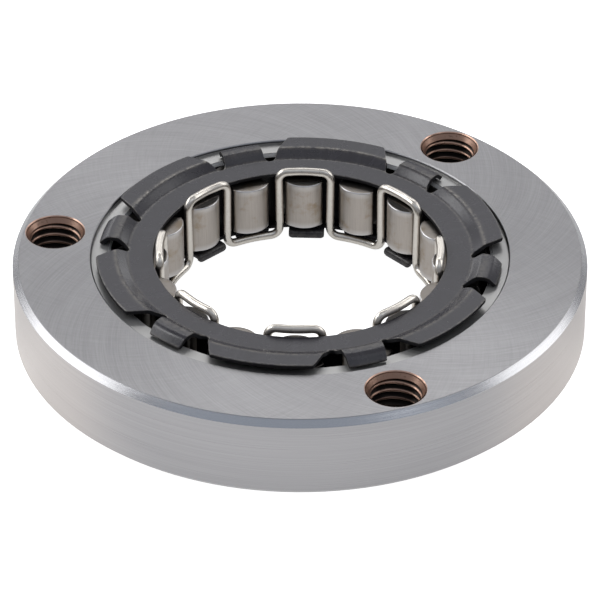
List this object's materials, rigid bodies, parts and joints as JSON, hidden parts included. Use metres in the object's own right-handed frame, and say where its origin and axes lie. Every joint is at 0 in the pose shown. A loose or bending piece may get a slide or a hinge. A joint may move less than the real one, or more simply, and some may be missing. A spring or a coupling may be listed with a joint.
{
  "type": "sprag clutch",
  "caption": "One-way clutch: a bolted outer ring with a pressed cage of tilting sprags and a meander wire spring, open in the middle for an inner race.",
  "frame": {"origin": "on the axis of rotation, at the ring's lower face", "axes": "+Z along the axis of rotation, out of the face with the cage's flange; +Y towards the far side in the picture"},
  "size_m": [0.08, 0.08, 0.0135],
  "materials": {
    "ground_steel": "ground faces and turned wall, hardened bearing steel",
    "black_sheet_steel": "dark oxide on pressed sheet steel, worn at the bends",
    "spring_wire": "bright drawn spring wire",
    "sprag_steel": "satin hardened steel, lightly oiled"
  },
  "bodies": {
    "ring": {"outer_ring": "ground_steel"},
    "cage": {"cage": "black_sheet_steel", "meander_spring": "spring_wire"},
    "sprag_01": {"sprag_01": "sprag_steel"},
    "sprag_02": {"sprag_02": "sprag_steel"},
    "sprag_03": {"sprag_03": "sprag_steel"},
    "sprag_04": {"sprag_04": "sprag_steel"},
    "sprag_05": {"sprag_05": "sprag_steel"},
    "sprag_06": {"sprag_06": "sprag_steel"},
    "sprag_07": {"sprag_07": "sprag_steel"},
    "sprag_08": {"sprag_08": "sprag_steel"},
    "sprag_09": {"sprag_09": "sprag_steel"},
    "sprag_10": {"sprag_10": "sprag_steel"},
    "sprag_11": {"sprag_11": "sprag_steel"},
    "sprag_12": {"sprag_12": "sprag_steel"},
    "sprag_13": {"sprag_13": "sprag_steel"},
    "sprag_14": {"sprag_14": "sprag_steel"},
    "sprag_15": {"sprag_15": "sprag_steel"},
    "sprag_16": {"sprag_16": "sprag_steel"}
  },
  "joints": [
    {"name": "cage_spin", "type": "hinge", "parent": "ring", "child": "cage", "pos_m": [0, 0, 0.0122], "axis": [0, 0, 1], "continuous": true},
    {"name": "sprag_tilt_01", "type": "hinge", "parent": "cage", "child": "sprag_01", "pos_m": [-0.0001, 0.02235, 0.0075], "axis": [0, 0, 1], "range_deg": [0, 6], "stiffness_Nm_per_rad": 0.002, "springref_deg": -11.46},
    {"name": "sprag_tilt_02", "type": "hinge", "parent": "cage", "child": "sprag_02", "pos_m": [-0.00865, 0.02061, 0.0075], "axis": [0, 0, 1], "range_deg": [0, 6], "stiffness_Nm_per_rad": 0.002, "springref_deg": -11.46},
    {"name": "sprag_tilt_03", "type": "hinge", "parent": "cage", "child": "sprag_03", "pos_m": [-0.01587, 0.01573, 0.0075], "axis": [0, 0, 1], "range_deg": [0, 6], "stiffness_Nm_per_rad": 0.002, "springref_deg": -11.46},
    {"name": "sprag_tilt_04", "type": "hinge", "parent": "cage", "child": "sprag_04", "pos_m": [-0.02069, 0.00846, 0.0075], "axis": [0, 0, 1], "range_deg": [0, 6], "stiffness_Nm_per_rad": 0.002, "springref_deg": -11.46},
    {"name": "sprag_tilt_05", "type": "hinge", "parent": "cage", "child": "sprag_05", "pos_m": [-0.02235, -0.0001, 0.0075], "axis": [0, 0, 1], "range_deg": [0, 6], "stiffness_Nm_per_rad": 0.002, "springref_deg": -11.46},
    {"name": "sprag_tilt_06", "type": "hinge", "parent": "cage", "child": "sprag_06", "pos_m": [-0.02061, -0.00865, 0.0075], "axis": [0, 0, 1], "range_deg": [0, 6], "stiffness_Nm_per_rad": 0.002, "springref_deg": -11.46},
    {"name": "sprag_tilt_07", "type": "hinge", "parent": "cage", "child": "sprag_07", "pos_m": [-0.01573, -0.01587, 0.0075], "axis": [0, 0, 1], "range_deg": [0, 6], "stiffness_Nm_per_rad": 0.002, "springref_deg": -11.46},
    {"name": "sprag_tilt_08", "type": "hinge", "parent": "cage", "child": "sprag_08", "pos_m": [-0.00846, -0.02069, 0.0075], "axis": [0, 0, 1], "range_deg": [0, 6], "stiffness_Nm_per_rad": 0.002, "springref_deg": -11.46},
    {"name": "sprag_tilt_09", "type": "hinge", "parent": "cage", "child": "sprag_09", "pos_m": [0.0001, -0.02235, 0.0075], "axis": [0, 0, 1], "range_deg": [0, 6], "stiffness_Nm_per_rad": 0.002, "springref_deg": -11.46},
    {"name": "sprag_tilt_10", "type": "hinge", "parent": "cage", "child": "sprag_10", "pos_m": [0.00865, -0.02061, 0.0075], "axis": [0, 0, 1], "range_deg": [0, 6], "stiffness_Nm_per_rad": 0.002, "springref_deg": -11.46},
    {"name": "sprag_tilt_11", "type": "hinge", "parent": "cage", "child": "sprag_11", "pos_m": [0.01587, -0.01573, 0.0075], "axis": [0, 0, 1], "range_deg": [0, 6], "stiffness_Nm_per_rad": 0.002, "springref_deg": -11.46},
    {"name": "sprag_tilt_12", "type": "hinge", "parent": "cage", "child": "sprag_12", "pos_m": [0.02069, -0.00846, 0.0075], "axis": [0, 0, 1], "range_deg": [0, 6], "stiffness_Nm_per_rad": 0.002, "springref_deg": -11.46},
    {"name": "sprag_tilt_13", "type": "hinge", "parent": "cage", "child": "sprag_13", "pos_m": [0.02235, 0.0001, 0.0075], "axis": [0, 0, 1], "range_deg": [0, 6], "stiffness_Nm_per_rad": 0.002, "springref_deg": -11.46},
    {"name": "sprag_tilt_14", "type": "hinge", "parent": "cage", "child": "sprag_14", "pos_m": [0.02061, 0.00865, 0.0075], "axis": [0, 0, 1], "range_deg": [0, 6], "stiffness_Nm_per_rad": 0.002, "springref_deg": -11.46},
    {"name": "sprag_tilt_15", "type": "hinge", "parent": "cage", "child": "sprag_15", "pos_m": [0.01573, 0.01587, 0.0075], "axis": [0, 0, 1], "range_deg": [0, 6], "stiffness_Nm_per_rad": 0.002, "springref_deg": -11.46},
    {"name": "sprag_tilt_16", "type": "hinge", "parent": "cage", "child": "sprag_16", "pos_m": [0.00846, 0.02069, 0.0075], "axis": [0, 0, 1], "range_deg": [0, 6], "stiffness_Nm_per_rad": 0.002, "springref_deg": -11.46}
  ],
  "couplings": [
    {"joint": "sprag_tilt_02", "follows": "sprag_tilt_01", "ratio": 1},
    {"joint": "sprag_tilt_03", "follows": "sprag_tilt_01", "ratio": 1},
    {"joint": "sprag_tilt_04", "follows": "sprag_tilt_01", "ratio": 1},
    {"joint": "sprag_tilt_05", "follows": "sprag_tilt_01", "ratio": 1},
    {"joint": "sprag_tilt_06", "follows": "sprag_tilt_01", "ratio": 1},
    {"joint": "sprag_tilt_07", "follows": "sprag_tilt_01", "ratio": 1},
    {"joint": "sprag_tilt_08", "follows": "sprag_tilt_01", "ratio": 1},
    {"joint": "sprag_tilt_09", "follows": "sprag_tilt_01", "ratio": 1},
    {"joint": "sprag_tilt_10", "follows": "sprag_tilt_01", "ratio": 1},
    {"joint": "sprag_tilt_11", "follows": "sprag_tilt_01", "ratio": 1},
    {"joint": "sprag_tilt_12", "follows": "sprag_tilt_01", "ratio": 1},
    {"joint": "sprag_tilt_13", "follows": "sprag_tilt_01", "ratio": 1},
    {"joint": "sprag_tilt_14", "follows": "sprag_tilt_01", "ratio": 1},
    {"joint": "sprag_tilt_15", "follows": "sprag_tilt_01", "ratio": 1},
    {"joint": "sprag_tilt_16", "follows": "sprag_tilt_01", "ratio": 1}
  ]
}
